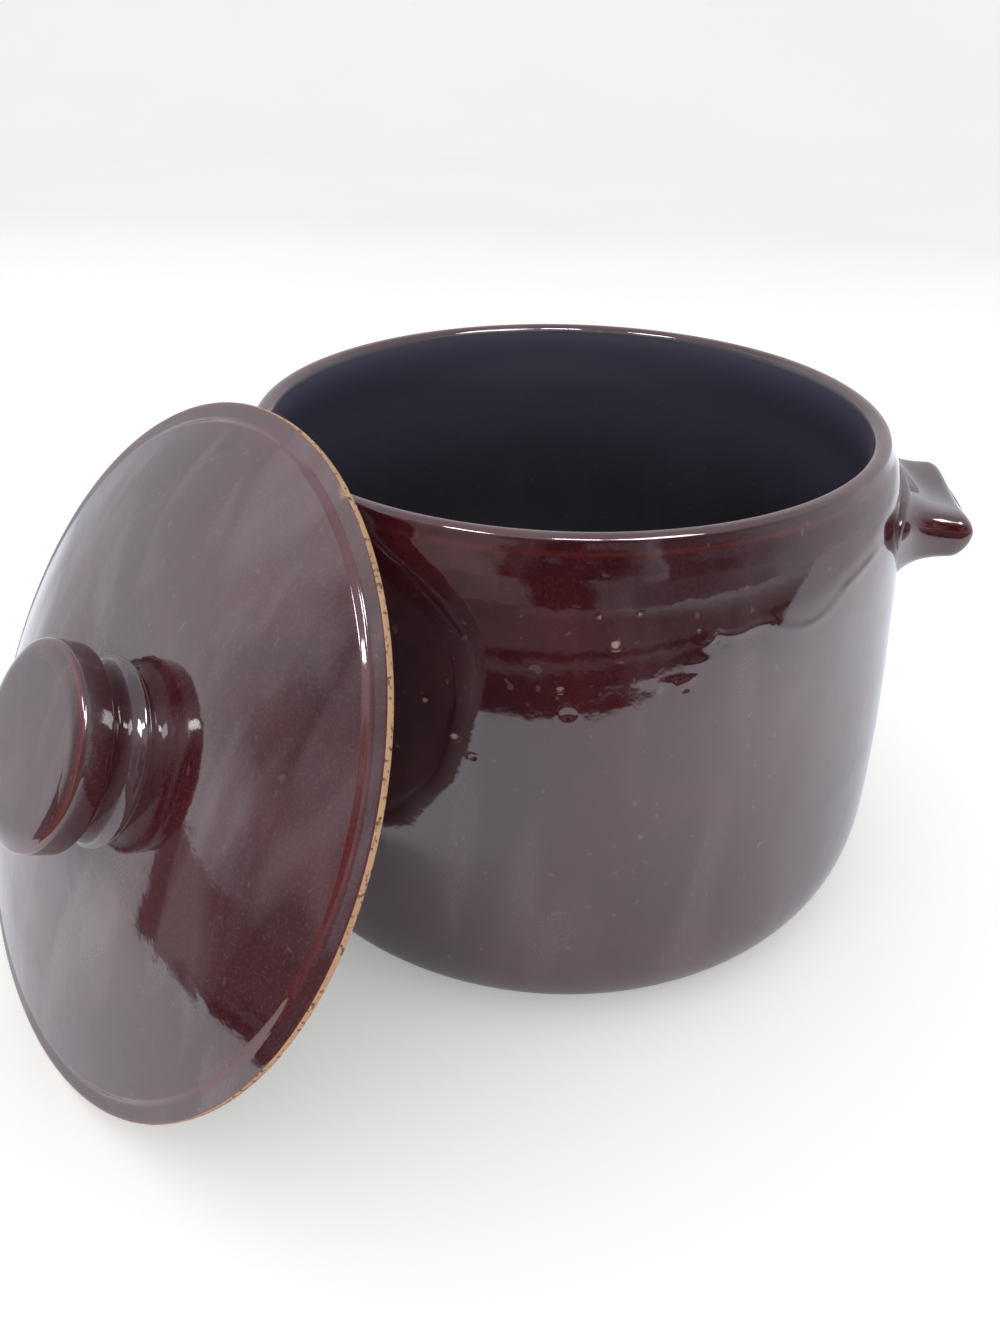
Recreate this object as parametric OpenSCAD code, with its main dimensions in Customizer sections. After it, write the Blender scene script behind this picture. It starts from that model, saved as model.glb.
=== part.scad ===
// Stoneware bean pot with two lug handles and a loose domed lid, sizes in millimetres.
// The pot stands on its foot at the origin. The lid leans on it: its edge stands on the
// table and its locating ring rests on the lip of the pot.

/* [Pot] */
// Height of the pot, from the table to the top of its lip
pot_h = 131; // [122:1:140]
// Greatest outside diameter, at the belly
belly_d = 184; // [178:1:192]
// Height of the belly, where the pot is widest
belly_h = 30; // [26:1:40]
// How much narrower than the belly the pot is where the shoulder begins to turn in
shoulder_in = 8.4; // [6:0.4:12]
// How far below the top of the lip the shoulder begins
shoulder_drop = 30; // [26:1:36]
// Outside diameter of the lip
lip_d = 162; // [156:1:166]
// Thickness of the rounded lip
lip_t = 5; // [4:0.2:6]
// Thickness of the wall
wall_t = 5; // [4:0.25:7]
// Thickness of the floor
floor_t = 7; // [5:0.5:10]
// How far down its outer side the lip stays round, in degrees, above a faint crease
lip_turn = 8; // [0:2:30]

/* [Foot] */
// Outside diameter of the flat foot that stands on the table
foot_d = 146; // [138:1:152]

/* [Handles] */
// How far a handle stands out from the wall
lug_out = 16.2; // [13:0.4:20]
// Length of a handle along the wall, past its flared root
lug_l = 37; // [31:1:44]
// Thickness of a handle at its nose
lug_t = 15; // [12:0.5:17]
// Height of the middle of the nose below the top of the lip
lug_drop = 22; // [21:0.5:26]
// How much thicker a handle is at the wall than at its nose
lug_taper = 4; // [2:0.5:7]
// Depth of the saddle between the two ridges of the top
lug_saddle = 4.5; // [2:0.5:5.5]
// Reach of the smoothed root along the wall, each way
lug_flare = 11; // [6:0.5:13]

/* [Lid] */
// Diameter of the lid
lid_d = 164; // [160:0.5:168]
// Height of the dome above the seat of the lid
dome_h = 13.2; // [11:0.2:16]
// Thickness of the domed part
lid_t = 6; // [5:0.25:7]
// Thickness of the bare clay edge
edge_t = 1.6; // [1.2:0.1:2.5]
// Width of the nearly flat brim outside the dome
brim_w = 4.4; // [4:0.4:8]
// Rise of the brim from the edge to the dome
brim_rise = 0.8; // [0.6:0.2:2]
// Height of the round shoulder between the brim and the dome
step_h = 1.2; // [1:0.2:2.4]
// Gap all round between the locating ring and the inside of the lip
ring_play = 1.6; // [1:0.1:3]
// Width of the locating ring
ring_w = 7; // [5:0.5:9]
// Depth of the locating ring below the seat
ring_depth = 3.5; // [2.5:0.25:6]

/* [Knob] */
// Diameter of the knob
knob_d = 46.8; // [44:0.4:50]
// Height of the upright band round the knob
knob_band = 7.6; // [5:0.2:9]
// Diameter of the neck at its waist
neck_d = 39; // [33:0.5:40]
// Height of the neck, from the dome to the underside of the knob
neck_h = 8.6; // [6:0.2:10]
// Rise of the low dome on top of the knob
knob_crown = 1.6; // [0.8:0.2:3]
// Flare of the neck where it is luted to the lid
neck_flare = 2.4; // [1.6:0.2:4]
// How far off the middle of the lid the knob was set, towards the lid's lower side
knob_off = 2.2; // [0:0.2:3]

/* [Placing] */
// Where the lid is drawn
lid_place = "leaning"; // [leaning, seated]
// Direction from the pot in which the lid leans, in degrees from the right handle
lean_az = 226; // [220:1:235]
// How far the middle of the leaning lid lies to the side of that direction
lean_side = -7.8; // [-12:0.2:12]

/* [Hidden] */
$fn = 144;
pot_glaze = "#43191f";
lid_glaze = "#4b1c24";
rest_gap = 0.3;            // between the leaning lid and the lip that it rests on
edge_round = 0.5;          // rounding of the lid's lower edge
knob_round = 1.3;          // rounding of the knob's two edges
ring_round = 1.2;          // rounding of the locating ring
crease = 0.5;              // step from the lip out to the top of the shoulder
steps = 10;                // stretches in each curve of an outline
belly_r = belly_d / 2;
foot_r = foot_d / 2;
lip_r = lip_d / 2;
shoulder_r = (belly_d - shoulder_in) / 2;
shoulder_h = pot_h - shoulder_drop;
lip_bead = lip_t / 2;
lip_c = [lip_r - lip_bead, pot_h - lip_bead];
lid_r = lid_d / 2;
ring_r = lip_r - lip_t - ring_play;
ring_in_r = ring_r - ring_w;
knob_r = knob_d / 2;
neck_r = neck_d / 2;
knob_seat_r = neck_r + neck_flare;
crown_r = knob_seat_r + knob_off;

// A point a share t of the way along the curve that four points steer
function bezier(p, t) =
    pow(1 - t, 3) * p[0] + 3 * t * pow(1 - t, 2) * p[1]
    + 3 * t * t * (1 - t) * p[2] + pow(t, 3) * p[3];
// The points of that curve, without its first point
function curve(p) = [for (i = [1:steps]) bezier(p, i / steps)];
// The points of an arc about c, from angle a0 to angle a1
function arc(c, r, a0, a1) =
    [for (i = [0:steps]) let (a = a0 + (a1 - a0) * i / steps) c + r * [cos(a), sin(a)]];
function flip(list) = [for (i = [len(list) - 1:-1:0]) list[i]];

// ---- The pot: one thrown wall, from its foot up over the belly and shoulder to the lip.

// Lean of the wall where the belly curve runs into the shoulder, outward per unit up
shoulder_lean = -1.4 * (belly_r - shoulder_r) / (shoulder_h - belly_h);
crease_h = lip_c[1] - lip_bead * sin(lip_turn) - crease;
crease_r = lip_c[0] + lip_bead * cos(lip_turn) + crease * 0.6;

// The curves between the belly and the crease, moved inwards by t and ending at top
function wall_curves(t, top) =
    let (run = shoulder_h - belly_h, rise = top[1] - shoulder_h)
    concat(
        curve([[belly_r - t, belly_h], [belly_r - t, belly_h + 0.4 * run],
               [shoulder_r - t - shoulder_lean * 0.35 * run, shoulder_h - 0.35 * run],
               [shoulder_r - t, shoulder_h]]),
        curve([[shoulder_r - t, shoulder_h],
               [shoulder_r - t + shoulder_lean * 0.4 * rise, shoulder_h + 0.4 * rise],
               [top[0] + 0.62 * (shoulder_r - t - top[0]), top[1] - 0.18 * rise],
               top]));

outer_foot = concat([[foot_r, 0]],
    curve([[foot_r, 0], [foot_r + 0.52 * (belly_r - foot_r), 0],
           [belly_r, 0.32 * belly_h], [belly_r, belly_h]]));
outer_wall = wall_curves(0, [crease_r, crease_h]);
outer_line = concat(outer_foot, outer_wall);
inner_h = lip_c[1] - lip_bead * 2;
inner_foot_r = foot_r - wall_t;
inner_line = concat([[inner_foot_r, floor_t]],
    curve([[inner_foot_r, floor_t], [inner_foot_r + 0.6 * (belly_r - foot_r), floor_t],
           [belly_r - wall_t, floor_t + 0.3 * (belly_h - floor_t)],
           [belly_r - wall_t, belly_h]]),
    wall_curves(wall_t, [lip_r - lip_t, inner_h]));

// Outside radius of the wall at height z
function wall_r(z) = lookup(z, [for (p = outer_line) [p[1], p[0]]]);

module pot_form() {
    rotate_extrude() polygon(concat([[0, 0]], outer_line, [[0, crease_h]]));
}

module pot_body() {
    color(pot_glaze)
        rotate_extrude()
            polygon(concat(
                [[0, 0]],
                outer_line,
                arc(lip_c, lip_bead, -lip_turn, 180),
                flip(inner_line),
                [[0, floor_t]]));
}

// ---- The handles: a pressed lug, thick at the wall, with a saddle between two ridges on
// top, a round nose and a smoothed root. It is lofted outwards from the wall as rings.

lug_sides = 40;            // points round a ring
lug_nose = 4.2;            // length of the round nose
lug_square = 3.3;          // squareness of a ring: 2 is an ellipse
lug_grip = 0.7;            // share of the taper that the underside takes
lug_root = 3.2;            // distance over which the smoothed root dies away
lug_sink = 3;              // depth of the root inside the wall, cut to the wall's face
lug_swell = 0.3;           // share of the root's reach that it swells by, down and up
lug_crest = 0.25;          // share of that swelling that the top takes
lug_hollow = 0.8;          // how far the middle of the nose draws in between the ridges
lug_deepest = 1.2;         // most that the saddle cuts, in half thicknesses of a ring
lug_h = pot_h - lug_drop;
lug_wall_r = wall_r(lug_h);
// Distances of the rings from the wall: the root, the body and, closer, the nose
lug_rings = concat([-lug_sink, -1, 0], [for (i = [1:5]) (lug_out - lug_nose) * i / 5],
                   [for (i = [1:6]) lug_out - lug_nose + lug_nose * sin(15 * i)]);

function power(x, p) = sign(x) * pow(abs(x), p);
// One ring at distance s from the wall, as [out, along the wall, up] points
function lug_ring(s) =
    let (body = max(s, 0) / lug_out,
         root = exp(-max(s + 0.6, 0) / lug_root),
         nose = sqrt(max(0.0004, 1 - pow(max(s - lug_out + lug_nose, 0) / lug_nose, 2))),
         half_l = (lug_l / 2 - lug_nose * 0.55 * (1 - nose)) + lug_flare * root,
         half_t = (lug_t * (0.12 + 0.88 * nose) + lug_taper * pow(1 - body, 1.6)) / 2,
         swell = lug_swell * lug_flare * root,
         mid = (0.5 - lug_grip) * lug_taper * (1 - body) + 0.12 * lug_t * (1 - nose),
         dip = min(lug_saddle * (1 - root) * (0.7 + 0.3 * nose), lug_deepest * half_t))
    [for (i = [0:lug_sides - 1])
        let (a = 360 * i / lug_sides,
             along = power(cos(a), 2 / lug_square),
             up = power(sin(a), 2 / lug_square))
        [s - lug_hollow * pow(body, 2) * (1 - pow(along, 2)),
         half_l * along,
         mid + half_t * up + swell * (up > 0 ? lug_crest : 1) * up
             - dip * max(up, 0) * (1 - pow(along, 2))]];

// The ring set round the pot at its distance from the wall
function lug_place(s) =
    [for (q = lug_ring(s)) let (r = lug_wall_r + q[0], a = q[1] / lug_wall_r * 180 / PI)
        [r * cos(a), r * sin(a), lug_h + q[2]]];

module lug() {
    rings = len(lug_rings);
    difference() {
        polyhedron(
            points = [for (s = lug_rings) each lug_place(s)],
            faces = concat(
                [[for (i = [0:lug_sides - 1]) i]],
                [for (r = [0:rings - 2], i = [0:lug_sides - 1])
                    let (j = (i + 1) % lug_sides, a = r * lug_sides, b = a + lug_sides)
                    each [[a + i, b + i, b + j], [a + i, b + j, a + j]]],
                [[for (i = [lug_sides - 1:-1:0]) (rings - 1) * lug_sides + i]]));
        pot_form();
    }
}

module right_handle() {
    color(pot_glaze) lug();
}

module left_handle() {
    color(pot_glaze) rotate([0, 0, 180]) lug();
}

// ---- The lid: a shallow dome with a brim, a flat seat and a locating ring under it.

brim_r = lid_r - brim_w;
brim_h = edge_t + brim_rise;
dome_edge = [brim_r - step_h, brim_h + step_h];
seat_h = dome_h;

// The dome from the flat crown under the knob out to the shoulder, lowered by t
function dome(t, r_out) =
    let (fall = dome_h - dome_edge[1], run = dome_edge[0] - crown_r)
    [for (i = [0:2 * steps])
        let (r = crown_r + (r_out - crown_r) * i / (2 * steps))
        [r, dome_h - t - fall * pow((r - crown_r) / run, 2)]];

module lid_form() {
    rotate_extrude()
        polygon(concat(
            [[0, seat_h]],
            dome(0, dome_edge[0]),
            curve([dome_edge, dome_edge + step_h * [0.5, -0.12],
                   [brim_r - 0.3 * step_h, brim_h + 0.25 * step_h],
                   [brim_r + 0.6 * step_h, brim_h - 0.3]]),
            [[lid_r - edge_round / 2, edge_t], [lid_r, edge_t - edge_round / 2]],
            arc([lid_r - edge_round, edge_round], edge_round, 0, -90),
            [[ring_r + 1, 0]],
            [[ring_r, -1]],
            arc([ring_r - ring_round, ring_round - ring_depth], ring_round, 0, -90),
            arc([ring_in_r + ring_round, ring_round - ring_depth], ring_round, -90, -180),
            flip(dome(lid_t, ring_in_r)),
            [[0, seat_h - lid_t]]));
}

// ---- The knob: a thick disc on a waisted neck, luted to the flat crown of the lid.

module knob_form() {
    under_h = seat_h + neck_h;
    top_h = under_h + knob_band;
    waist = [neck_r, seat_h + 0.45 * neck_h];
    rotate_extrude()
        polygon(concat(
            [[0, seat_h], [knob_seat_r, seat_h]],
            curve([[knob_seat_r, seat_h], [knob_seat_r - 0.6 * neck_flare, seat_h + 0.1],
                   waist - [0, 0.2 * neck_h], waist]),
            curve([waist, waist + [0, 0.35 * neck_h],
                   [neck_r + 0.35 * (knob_r - neck_r), under_h - 0.3],
                   [knob_r - knob_round, under_h]]),
            arc([knob_r - knob_round, under_h + knob_round], knob_round, -80, 0),
            arc([knob_r - knob_round, top_h - knob_round], knob_round, 0, 75),
            curve([[knob_r - 1.6 * knob_round, top_h + 0.1], [0.6 * knob_r, top_h + 0.75 * knob_crown],
                   [0.3 * knob_r, top_h + knob_crown], [0, top_h + knob_crown]])));
}

// ---- The lean. In the upright plane through the lean, the lowest point of the lid's edge
// stands on the table and the middle of the locating ring's face clears the lip by rest_gap.

ring_touch = sqrt(pow(ring_in_r + ring_w / 2, 2) - pow(lean_side, 2));
lean_reach = ring_touch + lid_r - edge_round;
lip_off = ring_depth + rest_gap + lip_bead;
lean_off = lip_off + edge_round;
lean = asin((pot_h - lip_bead - edge_round) / norm([lean_reach, lean_off]))
    + atan(lean_off / lean_reach);
lid_out = lip_c[0] + ring_touch * cos(lean) + lip_off * sin(lean);
lid_up = (lid_r - edge_round) * sin(lean) + edge_round * (1 - cos(lean));
lid_at = [lid_out * cos(lean_az) - lean_side * sin(lean_az),
          lid_out * sin(lean_az) + lean_side * cos(lean_az), lid_up];

module place_lid() {
    if (lid_place == "seated")
        translate([0, 0, pot_h]) children();
    else
        translate(lid_at)
            rotate([0, lean, lean_az])
                children();
}

module lid() {
    color(lid_glaze) place_lid() lid_form();
}

module knob() {
    color(lid_glaze) place_lid() translate([knob_off, 0, 0]) knob_form();
}

echo(lean = lean, lid_at = lid_at,
     lid_axis = [sin(lean) * cos(lean_az), sin(lean) * sin(lean_az), cos(lean)]);

pot_body();
left_handle();
right_handle();
lid();
knob();
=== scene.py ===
import math

import bmesh
import bpy
from mathutils import Matrix, Vector, noise


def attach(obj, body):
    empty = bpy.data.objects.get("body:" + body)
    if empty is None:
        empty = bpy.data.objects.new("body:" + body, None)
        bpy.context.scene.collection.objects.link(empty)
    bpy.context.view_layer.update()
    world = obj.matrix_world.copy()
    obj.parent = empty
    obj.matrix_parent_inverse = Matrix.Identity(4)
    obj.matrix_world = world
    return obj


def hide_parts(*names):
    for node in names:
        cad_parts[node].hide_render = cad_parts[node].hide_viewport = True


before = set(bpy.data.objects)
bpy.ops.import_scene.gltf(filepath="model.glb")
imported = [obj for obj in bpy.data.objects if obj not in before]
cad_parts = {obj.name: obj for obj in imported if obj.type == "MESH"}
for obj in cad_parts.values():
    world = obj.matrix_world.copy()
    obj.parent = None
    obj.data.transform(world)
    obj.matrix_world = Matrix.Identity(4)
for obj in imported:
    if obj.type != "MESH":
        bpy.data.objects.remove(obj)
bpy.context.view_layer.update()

# ---- The table it was photographed on: a sweep of white paper that runs from under the
# pot up behind it. Only reflections see the paper end short of the camera, at a painted edge.

MM = 0.001


def linear(hex_colour):
    """An sRGB hex colour as the linear colour that a socket takes."""
    parts = [int(hex_colour[i:i + 2], 16) / 255 for i in (1, 3, 5)]
    return [c / 12.92 if c <= 0.04045 else ((c + 0.055) / 1.055) ** 2.4 for c in parts] + [1.0]


def add(tree, kind, settings=None, inputs=None):
    """A node of that kind, with its settings, and its inputs set or linked by name or place."""
    node = tree.nodes.new(kind)
    for name, value in (settings or {}).items():
        setattr(node, name, value)
    for name, value in (inputs or {}).items():
        if isinstance(value, bpy.types.NodeSocket):
            tree.links.new(value, node.inputs[name])
        else:
            node.inputs[name].default_value = value
    return node


def tone_ramp(tree, along, tones, start, span):
    """A colour ramp driven by along, through tones at places between start and start + span."""
    ramp = add(tree, "ShaderNodeValToRGB", {}, {0: along})
    stops = ramp.color_ramp.elements
    for index, (place, tone_hex) in enumerate(tones):
        at = (place - start) / span
        stop = stops.new(at) if index > 1 else stops[index]
        stop.position = at
        stop.color = linear(tone_hex)
    return ramp.outputs[0]


def finish_named(name):
    """A new material with an empty tree and its output node."""
    material = bpy.data.materials.new(name)
    material.use_nodes = True
    material.node_tree.nodes.clear()
    return material, material.node_tree, material.node_tree.nodes.new("ShaderNodeOutputMaterial")


# Matt white paper. Only to reflections in the glaze is it painted cool, as if in window light, as
# far as a painted edge: a curve in front of the pot, a straight side to the right. Past the edge
# reflections see a painted table, dark in a band along its rim.
paper, tree, out = finish_named("white_paper")
EDGE_CENTRE, EDGE_REACH = (0.05, 0.25, 0), (0.554, 0.55, 1)
SIDE_FACING = (-0.28, 0.96, 0)
place = add(tree, "ShaderNodeNewGeometry").outputs["Position"]
oval = add(tree, "ShaderNodeMapping", {"vector_type": "TEXTURE"},
           {"Vector": place, "Location": EDGE_CENTRE, "Scale": EDGE_REACH})
reach = add(tree, "ShaderNodeVectorMath", {"operation": "LENGTH"}, {0: oval.outputs[0]})
inside = add(tree, "ShaderNodeMapRange", {},
             {"Value": reach.outputs["Value"], "From Min": 0.985, "From Max": 1.0,
              "To Min": 1.0, "To Max": 0.0})
across = add(tree, "ShaderNodeVectorMath", {"operation": "DOT_PRODUCT"},
             {0: place, 1: SIDE_FACING})
straight_side = add(tree, "ShaderNodeMapRange", {},
                    {"Value": across.outputs["Value"], "From Min": -0.285, "From Max": -0.278})
xyz = add(tree, "ShaderNodeSeparateXYZ", {}, {0: place})
to_right = add(tree, "ShaderNodeMath", {"operation": "GREATER_THAN"},
               {0: xyz.outputs["X"], 1: 0.05})
right_side = add(tree, "ShaderNodeMath", {"operation": "MULTIPLY"},
                 {0: straight_side.outputs[0], 1: to_right.outputs[0]})
behind = add(tree, "ShaderNodeMapRange", {},
             {"Value": xyz.outputs["Y"], "From Min": -0.165, "From Max": -0.155})
front_part = add(tree, "ShaderNodeMath", {"operation": "MAXIMUM"},
                 {0: inside.outputs[0], 1: right_side.outputs[0]})
is_paper = add(tree, "ShaderNodeMath", {"operation": "MAXIMUM"},
               {0: front_part.outputs[0], 1: behind.outputs[0]})
# Tones by distance: 1 is the paper's edge
TABLE_REACH = 4.0
PAINTED_TABLE_TONES = [(0.0, "#2c2022"), (1.06, "#2c2022"), (1.09, "#7e7679"), (1.13, "#7e7679"),
               (1.15, "#241a1c"), (1.21, "#241a1c"), (1.24, "#787174"), (2.2, "#6e676a"),
               (3.4, "#857e82")]
how_far = add(tree, "ShaderNodeMapRange", {},
              {"Value": reach.outputs["Value"], "From Max": TABLE_REACH})
table = tone_ramp(tree, how_far.outputs[0], PAINTED_TABLE_TONES, 0, TABLE_REACH)
left_end = add(tree, "ShaderNodeMapRange", {},
               {"Value": xyz.outputs["X"], "From Min": -0.33, "From Max": -0.24,
                "To Min": 1.0, "To Max": 0.0})
rim = add(tree, "ShaderNodeMix", {"data_type": "RGBA"},
          {0: left_end.outputs[0], 6: table, 7: linear("#6e676a")})
far_right = add(tree, "ShaderNodeMapRange", {},
                {"Value": xyz.outputs["X"], "From Min": 0.5, "From Max": 1.6})
beyond = add(tree, "ShaderNodeMix", {"data_type": "RGBA"},
             {0: far_right.outputs[0], 6: rim.outputs[2], 7: linear("#c8ccd2")})
# What reflections see: a painted reflection of paper, table and its dark band
mirrored = add(tree, "ShaderNodeMix", {"data_type": "RGBA"},
               {0: is_paper.outputs[0], 6: beyond.outputs[2], 7: linear("#eff4fc")})
grain = add(tree, "ShaderNodeTexNoise", {}, {"Vector": place, "Scale": 3.0, "Detail": 2.0})
tone = add(tree, "ShaderNodeMix", {"data_type": "RGBA"},
           {0: grain.outputs[0], 6: linear("#f6f6f5"), 7: linear("#fbfbfa")})
path = add(tree, "ShaderNodeLightPath")
seen = add(tree, "ShaderNodeMix", {"data_type": "RGBA"},
           {0: path.outputs["Is Glossy Ray"], 6: tone.outputs[2], 7: mirrored.outputs[2]})
matt = add(tree, "ShaderNodeBsdfDiffuse", {}, {"Color": seen.outputs[2]})
# To the camera the paper is a little whiter than it is lit; its shadows stay. Only reflections in
# the glaze see a painted glow on it, brighter to either side of the pot, painted light that stands
# in for the windows.
sideways = add(tree, "ShaderNodeMath", {"operation": "ABSOLUTE"}, {0: xyz.outputs["X"]})
painted_glow_sideways = add(tree, "ShaderNodeMapRange", {},
                {"Value": sideways.outputs[0], "From Min": 0.05, "From Max": 0.25,
                 "To Min": 0.08, "To Max": 0.62})
near_pot = add(tree, "ShaderNodeMapRange", {},
               {"Value": reach.outputs["Value"], "From Min": 0.7, "From Max": 1.1,
                "To Min": 1.0, "To Max": 0.0})
painted_glow_near = add(tree, "ShaderNodeMath", {"operation": "MULTIPLY"},
                {0: painted_glow_sideways.outputs[0], 1: near_pot.outputs[0]})
painted_window_glow = add(tree, "ShaderNodeMath", {"operation": "MULTIPLY"},
                  {0: painted_glow_near.outputs[0], 1: path.outputs["Is Glossy Ray"]})
lifted = add(tree, "ShaderNodeMapRange", {},
             {"Value": xyz.outputs["Y"], "From Min": 0.2, "From Max": 1.0,
              "To Min": 0.27, "To Max": 0.0})
camera_glow = add(tree, "ShaderNodeMath", {"operation": "MULTIPLY"},
                  {0: path.outputs["Is Camera Ray"], 1: lifted.outputs[0]})
whiter = add(tree, "ShaderNodeMath", {"operation": "ADD"},
             {0: painted_window_glow.outputs[0], 1: camera_glow.outputs[0]})
shown = add(tree, "ShaderNodeEmission", {},
            {"Color": seen.outputs[2], "Strength": whiter.outputs[0]})
surface = add(tree, "ShaderNodeAddShader", {}, {0: matt.outputs[0], 1: shown.outputs[0]})
tree.links.new(surface.outputs[0], out.inputs[0])

SWEEP_BACK = 1.6           # from the pot to where the paper starts to rise
SWEEP_BEND = 0.9           # radius of the rise
SWEEP_TOP = 2.6
SWEEP_FRONT = -3.0
SWEEP_HALF = 5.0           # half its width
sheet = bmesh.new()
line = [(SWEEP_FRONT, 0.0), (SWEEP_BACK, 0.0)]
line += [(SWEEP_BACK + SWEEP_BEND * math.sin(a), SWEEP_BEND * (1 - math.cos(a)))
         for a in [math.radians(90 * i / 24) for i in range(1, 25)]]
line.append((SWEEP_BACK + SWEEP_BEND, SWEEP_TOP))
points = [sheet.verts.new((-SWEEP_HALF, y, z)) for y, z in line]
edges = [sheet.edges.new(pair) for pair in zip(points, points[1:])]
widened = bmesh.ops.extrude_edge_only(sheet, edges=edges)["geom"]
bmesh.ops.translate(sheet, verts=[v for v in widened if isinstance(v, bmesh.types.BMVert)],
                    vec=(2 * SWEEP_HALF, 0, 0))
for face in sheet.faces:
    face.smooth = True
    if face.normal.z < 0 or face.normal.y > 0:
        face.normal_flip()
paper_mesh = bpy.data.meshes.new("paper_sweep")
sheet.to_mesh(paper_mesh)
sheet.free()
paper_mesh.materials.append(paper)
sweep = bpy.data.objects.new("paper_sweep", paper_mesh)
bpy.context.scene.collection.objects.link(sweep)

# ---- The room round the table. Diffuse light comes evenly from all sides; mirrored in the
# glaze the room is white behind and to the left, and dim where the camera stands.

world = bpy.data.worlds.new("room")
world.use_nodes = True
bpy.context.scene.world = world
tree = world.node_tree
tree.nodes.clear()
towards = add(tree, "ShaderNodeTexCoord").outputs["Generated"]
# Things in the room have no straight outlines: the bearings wander a little
WANDER = (0.16, 0.16, 0.16)
wander = add(tree, "ShaderNodeTexNoise", {"normalize": False},
             {"Vector": towards, "Scale": 2.6, "Detail": 2.0})
wandering = add(tree, "ShaderNodeVectorMath", {"operation": "MULTIPLY_ADD"},
                {0: wander.outputs["Color"], 1: WANDER, 2: towards})
compass = add(tree, "ShaderNodeTexGradient", {"gradient_type": "RADIAL"},
              {"Vector": wandering.outputs[0]})
# Tones by bearing in degrees, near the horizon and above it: pale behind and at the left, dim
# where the camera stands, a window in front to the right
LOW_TONES = [(-180, "#f0f5fd"), (-169, "#ccd0d8"), (-160, "#8f8d93"), (-150, "#7a767a"),
             (-125, "#7f7b7e"), (-108, "#8a8688"), (-101, "#868284"), (-97, "#1c1416"),
             (-77, "#1c1416"), (-72, "#868284"), (-60, "#7c787c"), (-45, "#666266"),
             (-28, "#83848a"), (-14, "#b9bec5"), (5, "#d4d8e0"), (28, "#e8edf6"),
             (110, "#e0e5ee"), (145, "#ecf2fc"), (165, "#f6faff")]
HIGH_TONES = [(-180, "#f0f5fd"), (-169, "#d0d2d8"), (-160, "#979297"), (-150, "#837c80"),
              (-116, "#a39a9d"), (-110, "#8a8284"), (-106, "#3c3234"), (-101, "#181012"),
              (-72, "#181012"), (-66, "#4a4244"), (-60, "#8a8688"), (-55, "#b4b4b8"),
              (-50, "#5a5456"), (-40, "#4c484c"), (-20, "#9a9aa0"), (-5, "#c4c8ce"),
              (28, "#e0e5ee"), (110, "#dadfe8"), (145, "#eaf0fa"), (165, "#f6faff")]
low_wall, high_wall = (tone_ramp(tree, compass.outputs[1], tones, -180, 360)
                       for tones in (LOW_TONES, HIGH_TONES))
up_part = add(tree, "ShaderNodeSeparateXYZ", {}, {0: wandering.outputs[0]})
raised = add(tree, "ShaderNodeMapRange", {},
             {"Value": up_part.outputs["Z"], "From Min": 0.2, "From Max": 0.3})
overhead = add(tree, "ShaderNodeMapRange", {},
               {"Value": up_part.outputs["Z"], "From Min": 0.62, "From Max": 0.82})
sides = add(tree, "ShaderNodeMix", {"data_type": "RGBA"},
            {0: raised.outputs[0], 6: low_wall, 7: high_wall})
mirrored = add(tree, "ShaderNodeMix", {"data_type": "RGBA"},
               {0: overhead.outputs[0], 6: sides.outputs[2], 7: linear("#ccd2dc")})
path = add(tree, "ShaderNodeLightPath")
seen = add(tree, "ShaderNodeMix", {"data_type": "RGBA"},
           {0: path.outputs["Is Glossy Ray"], 6: linear("#fbfbfb"), 7: mirrored.outputs[2]})
glow = add(tree, "ShaderNodeBackground", {}, {"Color": seen.outputs[2], "Strength": 1.0})
out = add(tree, "ShaderNodeOutputWorld")
tree.links.new(glow.outputs[0], out.inputs[0])

# ---- The lamps: three panels near the ceiling. They only draw the bright lines on the lip, the
# lid's shoulder and the knob; the even room does the lighting.

AIM = Vector((0, 0, 0.1))
# Name, place, width and depth in metres, watts
LAMPS = [("middle_lamp", (0.18, -0.91, 2.12), (0.45, 0.20), 8.0),
         ("left_lamp", (-0.79, -0.76, 2.0), (0.50, 0.20), 8.0),
         ("right_lamp", (0.87, -0.68, 2.0), (0.80, 0.60), 16.0)]
for name, at, size, watts in LAMPS:
    lamp = bpy.data.lights.new(name, "AREA")
    lamp.shape = "RECTANGLE"
    lamp.size, lamp.size_y = size
    lamp.energy = watts
    holder = bpy.data.objects.new(name, lamp)
    bpy.context.scene.collection.objects.link(holder)
    holder.location = at
    holder.rotation_euler = (AIM - Vector(at)).to_track_quat("-Z", "Y").to_euler()
    holder.visible_diffuse = False

# ---- The camera: a phone held in front and a little to the right, looking down on the pot.

CAMERA_AT = (0.01425, -0.27195, 0.22103)
HEADING, TILT, ROLL = 96.57, 32.116, 0.756       # degrees; the tilt is downwards
camera_data = bpy.data.cameras.new("camera")
camera_data.lens = 29.03
camera_data.sensor_width = 36
camera_data.clip_start = 0.01
camera_data.clip_end = 20
heading, tilt, roll = (math.radians(a) for a in (HEADING, TILT, ROLL))
ahead = Vector((math.cos(tilt) * math.cos(heading), math.cos(tilt) * math.sin(heading),
                -math.sin(tilt)))
level = ahead.cross(Vector((0, 0, 1))).normalized()
above = level.cross(ahead)
right = level * math.cos(roll) + above * math.sin(roll)
above = above * math.cos(roll) - level * math.sin(roll)
camera = bpy.data.objects.new("camera", camera_data)
bpy.context.scene.collection.objects.link(camera)
camera.matrix_world = Matrix.LocRotScale(
    Vector(CAMERA_AT), Matrix((right, above, -ahead)).transposed(), None)
bpy.context.scene.camera = camera
bpy.context.scene.view_settings.view_transform = "Standard"

# ---- The pot: thrown stoneware, 5 mm thick, dipped in a dark iron glaze that is poured out
# again, so a thicker second skin ends in a wavy line under the shoulder. Its foot is bare.

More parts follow.
